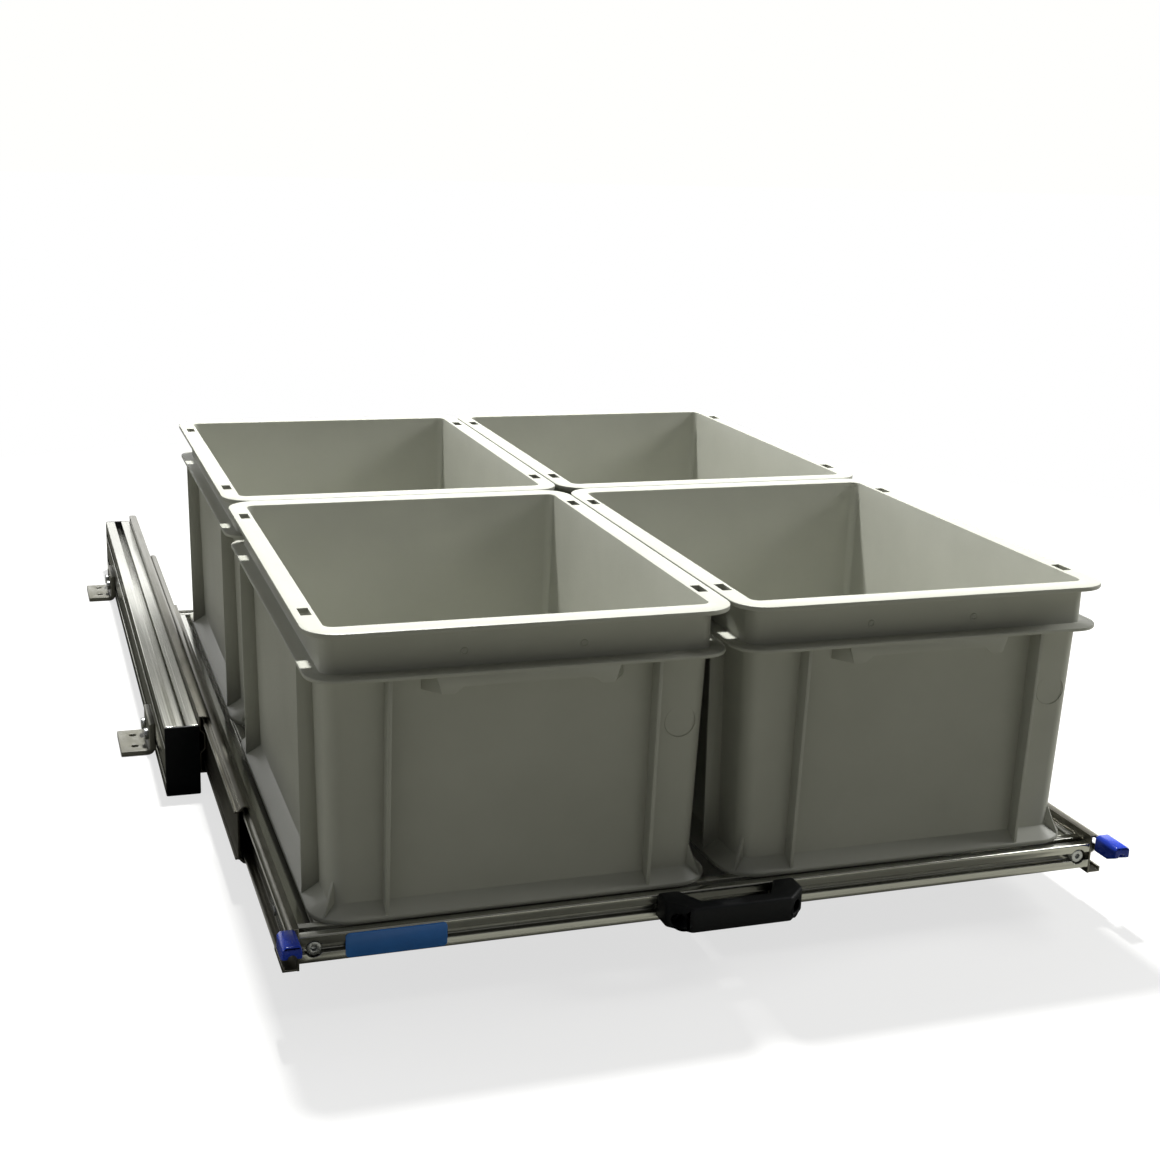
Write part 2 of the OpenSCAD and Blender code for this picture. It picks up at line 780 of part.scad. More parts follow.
module bin_body() {
    top = [body_w, body_d];
    low = [body_w - 2 * body_draft, body_d - 2 * body_draft];
    difference() {
        union() {
            difference() {
                lofted(low, foot_h, top, body_top + 1, body_r, body_r);
                panels(0, floor_z + bin_wall, foot_h, body_top);
            }
            translate([0, 0, body_top]) linear_extrude(lower_rim_t)
                round_rect(bin_w - 2 * lower_rim_back, bin_d - 2 * lower_rim_back, rim_r - lower_rim_back);
            translate([0, 0, body_top]) linear_extrude(bin_h - body_top - 1)
                round_rect(neck_w, neck_d, opening_r + bin_wall);
            translate([0, 0, bin_h - rim_t]) linear_extrude(rim_t) round_rect(bin_w, bin_d, rim_r);
            lofted([foot_w, foot_d], foot_edge, low, foot_h + 1, foot_r, body_r);
            linear_extrude(foot_edge + eps) round_rect(foot_w, foot_d, foot_r);
            for (a = [0, 180]) rotate(a) {
                for (x = [-rib_off, rib_off]) end_rib(x);
                end_grip();
            }
            four_corners() corner_fin();
        }
        difference() {
            lofted(low - [2 * bin_wall, 2 * bin_wall], floor_z + bin_wall,
                top - [2 * bin_wall, 2 * bin_wall], shelf_top + eps,
                body_r - bin_wall, body_r - bin_wall);
            panels(bin_wall, 0, 0, shelf_top + 1);
        }
        translate([0, 0, shelf_top]) linear_extrude(neck_h + 1)
            round_rect(opening_w, opening_d, opening_r);
        difference() {
            lofted([foot_w - 2 * bin_wall, foot_d - 2 * bin_wall], -eps, low, floor_z,
                foot_r - bin_wall, body_r);
            for (i = [-2 : 2]) translate([i * low[0] / 6 - 1, -bin_d / 2, 1])
                cube([2, bin_d, floor_z]);
            for (i = [-2 : 2]) translate([-bin_w / 2, i * low[1] / 6 - 1, 1])
                cube([bin_w, 2, floor_z]);
        }
        four_corners()
            translate([neck_w / 2 + 0.2, bin_d / 2 - lid_slot_in - lid_slot_l / 2, bin_h - rim_t - 1])
                cube([lid_slot_w, lid_slot_l, rim_t + 2]);
    }
}

module bin(side, end) {
    color(bin_grey) translate([side * pitch_x / 2, drawer_y + end * pitch_y / 2, frame_top])
        bin_body();
}

beam(-1);  // left_beam
beam(1);  // right_beam
beam_cap(-1, false);  // left_front_cap
beam_cap(-1, true);  // left_rear_cap
beam_cap(1, false);  // right_front_cap
beam_cap(1, true);  // right_rear_cap
bracket(-1, false);  // left_front_bracket
bracket(-1, true);  // left_rear_bracket
bracket(1, false);  // right_front_bracket
bracket(1, true);  // right_rear_bracket
bracket_bolts();
bracket_nuts();
slide_outer(-1);  // left_slide_outer
slide_outer(1);  // right_slide_outer
slide_outer_screws();
slide_outer_nuts();
outer_cage(-1);  // left_outer_cage
outer_cage(1);  // right_outer_cage
outer_balls();
slide_middle(-1);  // left_slide_middle
slide_middle(1);  // right_slide_middle
inner_cage(-1);  // left_inner_cage
inner_cage(1);  // right_inner_cage
inner_balls();
slide_inner(-1);  // left_slide_inner
slide_inner(1);  // right_slide_inner
slide_inner_screws();
slide_inner_nuts();
end_rail(-1);  // front_rail
end_rail(1);  // rear_rail
side_rail(-1);  // left_side_rail
side_rail(1);  // right_side_rail
cross_rail();
corner_screws();
cross_rail_screws();
handle();
handle_screws();
handle_nuts();
label_plate();
lock_strip(-1);  // left_lock_strip
lock_strip(1);  // right_lock_strip
lever_grip(-1);  // left_lever_grip
lever_grip(1);  // right_lever_grip
lever_rivets();
bin(-1, -1);  // front_left_bin
bin(1, -1);  // front_right_bin
bin(-1, 1);  // rear_left_bin
bin(1, 1);  // rear_right_bin
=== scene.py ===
import json
import math
import bmesh
import bpy
from mathutils import Matrix, Vector


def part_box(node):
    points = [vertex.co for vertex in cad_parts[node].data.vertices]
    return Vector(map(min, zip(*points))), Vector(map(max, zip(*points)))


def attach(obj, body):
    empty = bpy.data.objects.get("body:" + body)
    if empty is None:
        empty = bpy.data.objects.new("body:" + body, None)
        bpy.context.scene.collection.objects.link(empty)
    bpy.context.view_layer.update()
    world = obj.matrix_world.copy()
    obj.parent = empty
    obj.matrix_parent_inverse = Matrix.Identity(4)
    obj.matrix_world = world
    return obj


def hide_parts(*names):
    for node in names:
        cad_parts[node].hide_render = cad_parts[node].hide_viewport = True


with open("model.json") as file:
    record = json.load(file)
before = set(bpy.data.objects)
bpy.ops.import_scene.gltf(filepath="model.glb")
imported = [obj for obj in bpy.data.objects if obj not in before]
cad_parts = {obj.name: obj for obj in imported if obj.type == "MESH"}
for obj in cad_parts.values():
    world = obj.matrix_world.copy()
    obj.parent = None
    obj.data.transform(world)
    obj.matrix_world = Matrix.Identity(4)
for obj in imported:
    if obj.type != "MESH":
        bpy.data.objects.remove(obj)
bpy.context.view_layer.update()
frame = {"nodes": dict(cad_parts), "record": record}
nodes = frame["nodes"]
bodies = frame["record"]["behaviour"]["bodies"]
carrier = {name: body for body, members in bodies.items() for name in members}

# Camera
# It stands low in front of the drawer's left corner, tilted a little to the side, with a
# normal lens. Its place was worked out from the corners of the four bins.
camera_place = (-0.4738, -1.6238, 0.5849)
camera_turn = (75.02, -1.83, -18.50)
camera_lens = 53.0
sensor_w = 36.0
camera_data = bpy.data.cameras.new("camera")
camera_data.sensor_fit = "HORIZONTAL"
camera_data.sensor_width = sensor_w
camera_data.lens = camera_lens
camera = bpy.data.objects.new("camera", camera_data)
camera.location = camera_place
camera.rotation_euler = [math.radians(turn) for turn in camera_turn]
bpy.context.scene.collection.objects.link(camera)
bpy.context.scene.camera = camera

# Fixed beams
# Two tall beams of extruded aluminium, sawn to length and clear anodised. The die leaves
# fine lines along them, and the lips of the slots are sharp but for a small break.
MM = 0.001
merge_gap = 0.002 * MM
flat_angle = math.radians(1)
edge_angle = math.radians(32)
shade_angle = math.radians(38)
# Most values of a noise pattern lie between these two.
noise_values = {"From Min": 0.3, "From Max": 0.7}
# The mix node's two colour sockets go by number, because its other sockets have the same names.
colour_a = 6
colour_b = 7


def tint(code):
    parts = [int(code[i:i + 2], 16) / 255 for i in (0, 2, 4)]
    return [c / 12.92 if c <= 0.04045 else ((c + 0.055) / 1.055) ** 2.4 for c in parts] + [1.0]


def join(tree, node, inputs):
    for socket, value in inputs.items():
        if isinstance(value, bpy.types.Node):
            value = next(output for output in value.outputs if output.enabled)
        if isinstance(value, bpy.types.NodeSocket):
            tree.links.new(value, node.inputs[socket])
        else:
            node.inputs[socket].default_value = value


def add(tree, kind, inputs=None, **settings):
    node = tree.nodes.new("ShaderNode" + kind)
    for name, value in settings.items():
        setattr(node, name, value)
    join(tree, node, inputs or {})
    return node


def start_finish(name, uniform):
    finish = bpy.data.materials.new(name)
    finish.use_nodes = True
    tree = finish.node_tree
    shader = tree.nodes["Principled BSDF"]
    join(tree, shader, uniform)
    return finish, tree, shader, add(tree, "TexCoord").outputs["Object"]


def steep_edges(mesh):
    return [e for e in mesh.edges if len(e.link_faces) == 2 and e.calc_face_angle() > edge_angle]


def round_over(mesh, parts, radius, segments=2, affect="EDGES"):
    return bmesh.ops.bevel(mesh, geom=parts, offset=radius * MM, offset_type="OFFSET",
                           segments=segments, profile=0.5, affect=affect, clamp_overlap=False,
                           material=-1)


def make_piece(name, mesh, finish, node):
    data = bpy.data.meshes.new(name)
    mesh.to_mesh(data)
    mesh.free()
    data.shade_smooth()
    data.set_sharp_from_angle(angle=shade_angle)
    data.materials.clear()
    data.materials.append(finish)
    piece = bpy.data.objects.new(name, data)
    bpy.context.scene.collection.objects.link(piece)
    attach(piece, carrier[node])
    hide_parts(node)


def eased_mesh(node, radius, segments=2):
    mesh = bmesh.new()
    mesh.from_mesh(nodes[node].data)
    bmesh.ops.remove_doubles(mesh, verts=mesh.verts, dist=merge_gap)
    bmesh.ops.dissolve_limit(mesh, angle_limit=flat_angle, verts=mesh.verts, edges=mesh.edges)
    round_over(mesh, steep_edges(mesh), radius, segments)
    return mesh


def eased(node, radius, finish, segments=2):
    make_piece(node + "_eased", eased_mesh(node, radius, segments), finish, node)


# Anodised aluminium: a soft, slightly warm silver. The die lines, 0.4 mm apart on the real
# extrusion, are drawn 1.6 mm apart so that they show, and streak the gloss along the length.
def extruded_aluminium(name, along):
    finish, tree, shader, place = start_finish(name, {"Metallic": 1.0})
    line_scale = [1 / (1.6 * MM)] * 3
    line_scale[along] = 1 / (900 * MM)
    streak_scale = [1 / (9 * MM)] * 3
    streak_scale[along] = 1 / (500 * MM)
    drawn = add(tree, "Mapping", {"Vector": place, "Scale": line_scale})
    lines = add(tree, "TexNoise", {"Vector": drawn, "Scale": 1.0, "Detail": 4.0, "Roughness": 0.55})
    drawn = add(tree, "Mapping", {"Vector": place, "Scale": streak_scale})
    streaks = add(tree, "TexNoise", {"Vector": drawn, "Scale": 1.0, "Detail": 2.0,
                                     "Roughness": 0.55})
    clouds = add(tree, "TexNoise", {"Vector": place, "Scale": 1 / (60 * MM), "Detail": 3.0,
                                    "Roughness": 0.55})
    streaked = add(tree, "MapRange", {"Value": streaks, **noise_values})
    silver = add(tree, "Mix", {"Factor": streaked, colour_a: tint("b0b0a8"),
                               colour_b: tint("bdbdb5")}, data_type="RGBA")
    dulled = add(tree, "MapRange", {"Value": clouds, "From Min": 0.45, "From Max": 0.75,
                                    "To Max": 0.35})
    colour = add(tree, "Mix", {"Factor": dulled, colour_a: silver, colour_b: tint("a1a199")},
                 data_type="RGBA")
    rough = add(tree, "MapRange", {"Value": lines, **noise_values, "To Min": 0.2, "To Max": 0.28})
    relief = add(tree, "Bump", {"Height": lines, "Distance": 0.003 * MM})
    join(tree, shader, {"Base Color": colour, "Roughness": rough, "Normal": relief})
    return finish


aluminium_y = extruded_aluminium("anodised_aluminium_lengthways", 1)
aluminium_x = extruded_aluminium("anodised_aluminium_crossways", 0)
beam_edge = 0.35
for node in ("left_beam", "right_beam"):
    eased(node, beam_edge, aluminium_y)

# Beam end caps
# Flat caps of black polyamide, pressed into the beams' two round bores by pegs. The mould
# was spark eroded, which leaves a fine matt grain.
cap_edge = 0.7


# Black polyamide: a deep matt black with slow changes of shade. The grain of the mould, about
# 0.2 mm, is drawn four times as wide so that it shows.
def black_polyamide(name, dark, light, grain):
    finish, tree, shader, place = start_finish(name, {"Specular IOR Level": 0.22, "IOR": 1.53})
    pits = add(tree, "TexNoise", {"Vector": place, "Scale": 1 / (grain * MM), "Detail": 2.0,
                                  "Roughness": 0.55})
    clouds = add(tree, "TexNoise", {"Vector": place, "Scale": 1 / (25 * MM), "Detail": 3.0,
                                    "Roughness": 0.55})
    clouded = add(tree, "MapRange", {"Value": clouds, **noise_values})
    colour = add(tree, "Mix", {"Factor": clouded, colour_a: tint(dark), colour_b: tint(light)},
                 data_type="RGBA")
    rough = add(tree, "MapRange", {"Value": pits, **noise_values, "To Min": 0.42, "To Max": 0.62})
    relief = add(tree, "Bump", {"Height": pits, "Distance": 0.06 * MM})
    join(tree, shader, {"Base Color": colour, "Roughness": rough, "Normal": relief})
    return finish


cap_plastic = black_polyamide("spark_grained_polyamide", "07090d", "0c0f14", 0.9)
for node in ("left_front_cap", "left_rear_cap", "right_front_cap", "right_rear_cap"):
    eased(node, cap_edge, cap_plastic)

# Floor brackets
# Short pieces of angle, 5 mm thick, bolted to the beams' lower side slots. They are bead
# blasted and coated in a warm grey, whose faint orange peel is 2.2 mm across.
bracket_edge = 0.9
bracket_coat, tree, shader, place = start_finish("grey_bracket_coat", {"IOR": 1.5})
peel = add(tree, "TexNoise", {"Vector": place, "Scale": 1 / (2.2 * MM), "Detail": 2.0,
                              "Roughness": 0.55})
clouds = add(tree, "TexNoise", {"Vector": place, "Scale": 1 / (18 * MM), "Detail": 4.0,
                                "Roughness": 0.55})
clouded = add(tree, "MapRange", {"Value": clouds, **noise_values})
colour = add(tree, "Mix", {"Factor": clouded, colour_a: tint("5c5b52"), colour_b: tint("68675d")},
             data_type="RGBA")
rough = add(tree, "MapRange", {"Value": peel, **noise_values, "To Min": 0.34, "To Max": 0.5})
relief = add(tree, "Bump", {"Height": peel, "Distance": 0.05 * MM})
join(tree, shader, {"Base Color": colour, "Roughness": rough, "Normal": relief})
for node in ("left_front_bracket", "left_rear_bracket", "right_front_bracket",
             "right_rear_bracket"):
    eased(node, bracket_edge, bracket_coat)


# Bolts and slot nuts
# Socket-head bolts and pressed slot nuts with zinc plating, bright or black. It has small
# flecks, drawn 1.1 mm wide so that they show, and a duller bloom where it has been handled.
def zinc_plate(name, dark, light, smoothest, roughest):
    finish, tree, shader, place = start_finish(name, {"Metallic": 1.0})
    flecks = add(tree, "TexNoise", {"Vector": place, "Scale": 1 / (1.1 * MM), "Detail": 3.0,
                                    "Roughness": 0.55})
    clouds = add(tree, "TexNoise", {"Vector": place, "Scale": 1 / (12 * MM), "Detail": 3.0,
                                    "Roughness": 0.55})
    clouded = add(tree, "MapRange", {"Value": clouds, **noise_values})
    colour = add(tree, "Mix", {"Factor": clouded, colour_a: tint(dark), colour_b: tint(light)},
                 data_type="RGBA")
    rough = add(tree, "MapRange", {"Value": flecks, **noise_values, "To Min": smoothest,
                                   "To Max": roughest})
    relief = add(tree, "Bump", {"Height": flecks, "Distance": 0.015 * MM})
    join(tree, shader, {"Base Color": colour, "Roughness": rough, "Normal": relief})
    return finish


bright_zinc = zinc_plate("bright_zinc_plate", "a8aaaa", "c3c5c6", 0.2, 0.36)
black_zinc = zinc_plate("black_zinc_plate", "15161a", "202126", 0.35, 0.5)
bolt_edge = 0.35
for node in ("bracket_bolts", "slide_outer_screws", "slide_inner_screws"):
    eased(node, bolt_edge, bright_zinc)
eased("handle_screws", bolt_edge, black_zinc)
for node in ("bracket_nuts", "slide_outer_nuts", "slide_inner_nuts", "handle_nuts"):
    eased(node, bolt_edge, bright_zinc)

# Slides
# Three members of cold-rolled sheet, 1.5 mm thick, roll-formed round two pairs of ball races
# and zinc plated. Rolling leaves streaks along them, and grease darkens the races.
slide_edge = 0.22
slide_steel, tree, shader, place = start_finish("rolled_zinc_steel", {"Metallic": 1.0})
drawn = add(tree, "Mapping", {"Vector": place, "Scale": [1 / (s * MM) for s in (0.9, 260, 0.9)]})
lines = add(tree, "TexNoise", {"Vector": drawn, "Scale": 1.0, "Detail": 4.0, "Roughness": 0.55})
drawn = add(tree, "Mapping", {"Vector": place, "Scale": [1 / (s * MM) for s in (6, 420, 6)]})
streaks = add(tree, "TexNoise", {"Vector": drawn, "Scale": 1.0, "Detail": 3.0, "Roughness": 0.55})
drawn = add(tree, "Mapping", {"Vector": place, "Scale": [1 / (s * MM) for s in (9, 55, 9)]})
smears = add(tree, "TexNoise", {"Vector": drawn, "Scale": 1.0, "Detail": 4.0, "Roughness": 0.55})
streaked = add(tree, "MapRange", {"Value": streaks, **noise_values})
plated = add(tree, "Mix", {"Factor": streaked, colour_a: tint("6d6b62"), colour_b: tint("7d7b72")},
             data_type="RGBA")
greasy = add(tree, "MapRange", {"Value": smears, "From Min": 0.52, "From Max": 0.72, "To Max": 0.6})
colour = add(tree, "Mix", {"Factor": greasy, colour_a: plated, colour_b: tint("4d4a40")},
             data_type="RGBA")
rough = add(tree, "MapRange", {"Value": lines, **noise_values, "To Min": 0.3, "To Max": 0.42})
relief = add(tree, "Bump", {"Height": lines, "Distance": 0.01 * MM})
join(tree, shader, {"Base Color": colour, "Roughness": rough, "Normal": relief})
for node in ("left_slide_outer", "right_slide_outer", "left_slide_middle", "right_slide_middle",
             "left_outer_cage", "right_outer_cage", "left_inner_cage", "right_inner_cage"):
    eased(node, slide_edge, slide_steel)

# At its front the inner member is lower, and its bottom lip turns out into a shallow channel.
# The member is cut in two there, and the front part gets a lip of its own, which starts a
# little behind the sawn end and beside the rail.
front_cut = 35
front_low = 33.3
lip_start = 0.3
lip_reach = 11.4
lip_up = 4.2
lip_t = 1.5
lip_back = 0.2
lip_edge = 0.3
lip = [(lip_start, 0), (lip_reach, 0), (lip_reach, lip_up), (lip_reach - lip_t, lip_up),
       (lip_reach - lip_t, lip_t), (lip_start, lip_t)]


def cut_off(mesh, point, normal):
    parts = mesh.verts[:] + mesh.edges[:] + mesh.faces[:]
    bmesh.ops.bisect_plane(mesh, geom=parts, dist=merge_gap, plane_co=point, plane_no=normal,
                           clear_outer=True)
    bmesh.ops.holes_fill(mesh, edges=[edge for edge in mesh.edges if edge.is_boundary])


def plate(mesh, points, thickness, place, round_off):
    corners = [mesh.verts.new((u * MM, -thickness / 2 * MM, v * MM)) for u, v in points]
    face = mesh.faces.new(corners)
    grown = bmesh.ops.extrude_face_region(mesh, geom=[face])["geom"]
    grown = [part for part in grown if isinstance(part, bmesh.types.BMVert)]
    bmesh.ops.translate(mesh, vec=(0, thickness * MM, 0), verts=grown)
    bmesh.ops.transform(mesh, matrix=place, verts=corners + grown)
    edges = list({edge for corner in corners + grown for edge in corner.link_edges})
    round_over(mesh, edges, round_off)


for side, node in ((-1, "left_slide_inner"), (1, "right_slide_inner")):
    low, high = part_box(node)
    cut_y = low[1] + front_cut * MM
    back = eased_mesh(node, slide_edge)
    front = back.copy()
    cut_off(back, (0, cut_y, 0), (0, -1, 0))
    cut_off(front, (0, cut_y, 0), (0, 1, 0))
    cut_off(front, (0, 0, front_low * MM), (0, 0, -1))
    rail_x = high[0] if side < 0 else low[0]
    middle_y = low[1] + (front_cut + lip_back) / 2 * MM
    spot = Matrix.Translation((rail_x, middle_y, front_low * MM))
    plate(front, [(side * u, v) for u, v in lip], front_cut - lip_back, spot, lip_edge)
    for part, mesh in (("_back", back), ("_front", front)):
        bmesh.ops.recalc_face_normals(mesh, faces=mesh.faces)
        make_piece(node + part, mesh, slide_steel, node)

# Balls
# Hardened chrome steel balls, ground and polished, which run in the slides' races. They lie
# under a film of grease, so they are bright but a little smeared.
ball_steel, tree, shader, place = start_finish("greased_ball_steel", {"Metallic": 1.0})
film = add(tree, "TexNoise", {"Vector": place, "Scale": 1 / (1.5 * MM), "Detail": 2.0,
                              "Roughness": 0.55})
filmed = add(tree, "MapRange", {"Value": film, **noise_values})
colour = add(tree, "Mix", {"Factor": filmed, colour_a: tint("b5b5b5"), colour_b: tint("cfcfcf")},
             data_type="RGBA")
rough = add(tree, "MapRange", {"Value": film, **noise_values, "To Min": 0.08, "To Max": 0.2})
join(tree, shader, {"Base Color": colour, "Roughness": rough})
for node in ("outer_balls", "inner_balls"):
    nodes[node].data.materials.clear()
    nodes[node].data.materials.append(ball_steel)

# Drawer frame
# Square slotted rails of the same anodised aluminium, butted at the corners and held by
# screws that run through the front and rear rails into the ends of the side rails.
rail_edge = 0.3
for node in ("left_side_rail", "right_side_rail"):
    eased(node, rail_edge, aluminium_y)
for node in ("front_rail", "rear_rail", "cross_rail"):
    eased(node, rail_edge, aluminium_x)
for node in ("corner_screws", "cross_rail_screws"):
    eased(node, bolt_edge, bright_zinc)

# Handle
# A bridge handle moulded in black glass-filled polyamide. Its corners are cut off at a
# slant and its edges are well rounded, and the surface is matt with a faint blue cast.
handle_edge = 2.2
handle_plastic = black_polyamide("handle_polyamide", "05070a", "0a0d12", 0.8)
eased("handle", handle_edge, handle_plastic, 3)

# Label plate
# A small plate with a blue film on it, left plain. The film is satin under a clear skin, with
# a haze 1.2 mm across and very slow changes of shade.
label_edge = 0.35
label_film, tree, shader, place = start_finish(
    "satin_blue_film", {"IOR": 1.49, "Coat Weight": 0.4, "Coat Roughness": 0.25})
clouds = add(tree, "TexNoise", {"Vector": place, "Scale": 1 / (14 * MM), "Detail": 3.0,
                                "Roughness": 0.55})
haze = add(tree, "TexNoise", {"Vector": place, "Scale": 1 / (1.2 * MM), "Detail": 2.0,
                              "Roughness": 0.55})
clouded = add(tree, "MapRange", {"Value": clouds, **noise_values})
colour = add(tree, "Mix", {"Factor": clouded, colour_a: tint("2a76cc"), colour_b: tint("2f7ed6")},
             data_type="RGBA")
rough = add(tree, "MapRange", {"Value": haze, **noise_values, "To Min": 0.35, "To Max": 0.5})
join(tree, shader, {"Base Color": colour, "Roughness": rough})
eased("label_plate", label_edge, label_film)

# Unlatching levers
# Each is a punched steel strip that tilts on a rivet, with a cap of glossy blue polyamide
# pushed over its end. The cap is open below, with an arch in its front, and the way that the
# plastic flowed leaves it a little uneven in shade and gloss.
grip_edge = 0.9
for node in ("left_lock_strip", "right_lock_strip", "lever_rivets"):
    eased(node, slide_edge, bright_zinc)
blue_grip, tree, shader, place = start_finish(
    "glossy_blue_polyamide", {"IOR": 1.53, "Specular IOR Level": 0.3})
drawn = add(tree, "Mapping", {"Vector": place, "Scale": [1 / (s * MM) for s in (7, 20, 7)]})
flow = add(tree, "TexNoise", {"Vector": drawn, "Scale": 1.0, "Detail": 3.0, "Roughness": 0.55})
flowed = add(tree, "MapRange", {"Value": flow, **noise_values})
colour = add(tree, "Mix", {"Factor": flowed, colour_a: tint("1633a4"), colour_b: tint("1c3cb0")},
             data_type="RGBA")
rough = add(tree, "MapRange", {"Value": flow, **noise_values, "To Min": 0.2, "To Max": 0.32})
join(tree, shader, {"Base Color": colour, "Roughness": rough})
for node in ("left_lever_grip", "right_lever_grip"):
    eased(node, grip_edge, blue_grip, 3)

# Bins
# Stacking containers injection moulded in grey polypropylene: a plain tapered box with two
# flanges round its neck, a flared foot, and upright fins that brace the lower flange.
bin_edge = 0.6
fin_edge = 0.4
floor_round = 3.0
corner_steps = 7
draft = 0.05
bin_h = 208
rim_under = 204.5
flange_over = 176
flange_under = 173.4
foot_slope_top = 11
foot_h = 3
base_z = 4
inside_z = 6.6
# Each outline is half a width, half a depth and the radius of its corners.
inside_low = (129.8, 177.2, 5)
inside_top = (135, 182.2, 7)
rim = (150, 200, 24)
neck = (137.6, 184.8, 10)
flange = (148.5, 198.5, 22.5)
wall_high = (136.5, 183.6, 12)
wall_low = (132.4, 179.6, 12)
foot = (145.5, 190.5, 28)
foot_inside = (142.9, 187.9, 25.4)
base = (130.5, 177.7, 12)
profile = [(inside_low, inside_z), (inside_top, bin_h), (rim, bin_h - draft), (rim, rim_under),
           (neck, rim_under - draft), (neck, flange_over + draft), (flange, flange_over),
           (flange, flange_under), (wall_high, flange_under + draft), (wall_low, foot_slope_top),
           (foot, foot_h), (foot, 0), (foot_inside, draft), (base, base_z)]


def outline(mesh, half_w, half_d, radius, z):
    corners = bmesh.ops.create_grid(mesh, x_segments=1, y_segments=1, size=1.0)["verts"]
    bmesh.ops.scale(mesh, vec=(half_w * MM, half_d * MM, 1), verts=corners)
    bmesh.ops.translate(mesh, vec=(0, 0, z * MM), verts=corners)
    rounded = round_over(mesh, corners, radius, corner_steps, "VERTICES")
    face = rounded["verts"][0].link_faces[0]
    edges = list(face.edges)
    bmesh.ops.delete(mesh, geom=[face], context="FACES_ONLY")
    return edges


def bin_shell():
    mesh = bmesh.new()
    loops = [outline(mesh, *size, z) for size, z in profile]
    for low, high in zip(loops, loops[1:]):
        bmesh.ops.bridge_loops(mesh, edges=low + high)
    inside_floor = bmesh.ops.contextual_create(mesh, geom=loops[0])["faces"]
    bmesh.ops.contextual_create(mesh, geom=loops[-1])
    bmesh.ops.recalc_face_normals(mesh, faces=mesh.faces)
    floor_edges = list(inside_floor[0].edges)
    round_over(mesh, [edge for edge in steep_edges(mesh) if edge not in floor_edges], bin_edge)
    widest = max(mesh.faces, key=lambda face: (face.normal.z > 0.99) * face.calc_area())
    round_over(mesh, list(widest.edges), floor_round, 3)
    return mesh


# The rim has four slots for a lid's hooks, two along each side. They are cut by planes along
# their edges, and the two openings of each are joined by walls.
slot_x = (137.75, 145.2)
slot_y = (134.8, 152.2)
slot_above = 204


def cut_lid_slots(mesh):
    for normal, distances in ((Vector((1, 0, 0)), slot_x), (Vector((0, 1, 0)), slot_y)):
        for distance in distances:
            for side in (-1, 1):
                bmesh.ops.bisect_plane(mesh, geom=mesh.verts[:] + mesh.edges[:] + mesh.faces[:],
                                       dist=merge_gap, plane_co=normal * side * distance * MM,
                                       plane_no=normal)
    for side_x in (-1, 1):
        for side_y in (-1, 1):
            inside = []
            for face in mesh.faces:
                middle = face.calc_center_median() / MM
                if (slot_x[0] < side_x * middle.x < slot_x[1]
                        and slot_y[0] < side_y * middle.y < slot_y[1] and middle.z > slot_above):
                    inside.append(face)
            border = [e for e in {edge for face in inside for edge in face.edges}
                      if sum(face in inside for face in e.link_faces) == 1]
            bmesh.ops.delete(mesh, geom=inside, context="FACES")
            bmesh.ops.bridge_loops(mesh, edges=[edge for edge in border if edge.is_valid])


# Fins run from the foot into the lower flange, two at each end and two at each side, and small
# ones brace the foot's corners. Under the flange of each end hangs a lip to lift by, with a
# tab at either end of it and a slanting wing from the tab to the wall.
end_fins = 94.5
side_fins = 139
fin_t = 2.7
fin_top = flange_under + 0.6
end_fin = [(178, 3), (189.6, 3), (189.6, 10), (197, fin_top), (182, fin_top)]
side_fin = [(131, 3), (144.6, 3), (144.6, 10), (147, fin_top), (135, fin_top)]
corner_fin = [(0, 3.4), (12.8, 3.4), (2.5, 28), (0, 28)]
corner_fin_t = 2.2
corner_fin_x = 127
corner_fin_y = 174.2
corner_turn = math.radians(38.2)
lift_w = 64.5
lift_t = 2.6
lift_y = 197.1
lift_low = flange_under - 7.2
tab_low = flange_under - 11.8
half_lip = [(-lift_w, fin_top), (4 - lift_w, tab_low), (13 - lift_w, tab_low),
            (19 - lift_w, lift_low)]
lift_lip = half_lip + [(-u, v) for u, v in reversed(half_lip)]
wing = [(-9, tab_low), (9, tab_low), (9, fin_top), (-9, fin_top)]
wing_t = 2.0
wing_x = lift_w + 0.6
wing_y = 190.2
wing_turn = math.atan2(14.5, 11)


def add_fins(mesh):
    crossways = Matrix.Rotation(math.pi / 2, 4, "Z")
    for turn in (0, math.pi):
        end = Matrix.Rotation(turn, 4, "Z")
        for x in (-end_fins, end_fins):
            spot = Matrix.Translation((x * MM, 0, 0))
            plate(mesh, end_fin, fin_t, end @ spot @ crossways, fin_edge)
        for y in (-side_fins, side_fins):
            plate(mesh, side_fin, fin_t, end @ Matrix.Translation((0, y * MM, 0)), fin_edge)
        spot = Matrix.Translation((0, lift_y * MM, 0))
        plate(mesh, lift_lip, lift_t, end @ spot, fin_edge)
        for side in (-1, 1):
            spot = Matrix.Translation((side * wing_x * MM, wing_y * MM, 0))
            slant = Matrix.Rotation(math.pi - wing_turn if side > 0 else wing_turn, 4, "Z")
            plate(mesh, wing, wing_t, end @ spot @ slant, fin_edge)
            spot = Matrix.Translation((side * corner_fin_x * MM, corner_fin_y * MM, 0))
            slant = Matrix.Rotation(corner_turn if side > 0 else math.pi - corner_turn, 4, "Z")
            plate(mesh, corner_fin, corner_fin_t, end @ spot @ slant, fin_edge)


# Five ribs each way stiffen the floor from below.
rib_t = 2
rib_low = 1
rib_high = 4.4
rib_half_d = 176
rib_half_w = 129
rib_pitch_x = 44
rib_pitch_y = 60


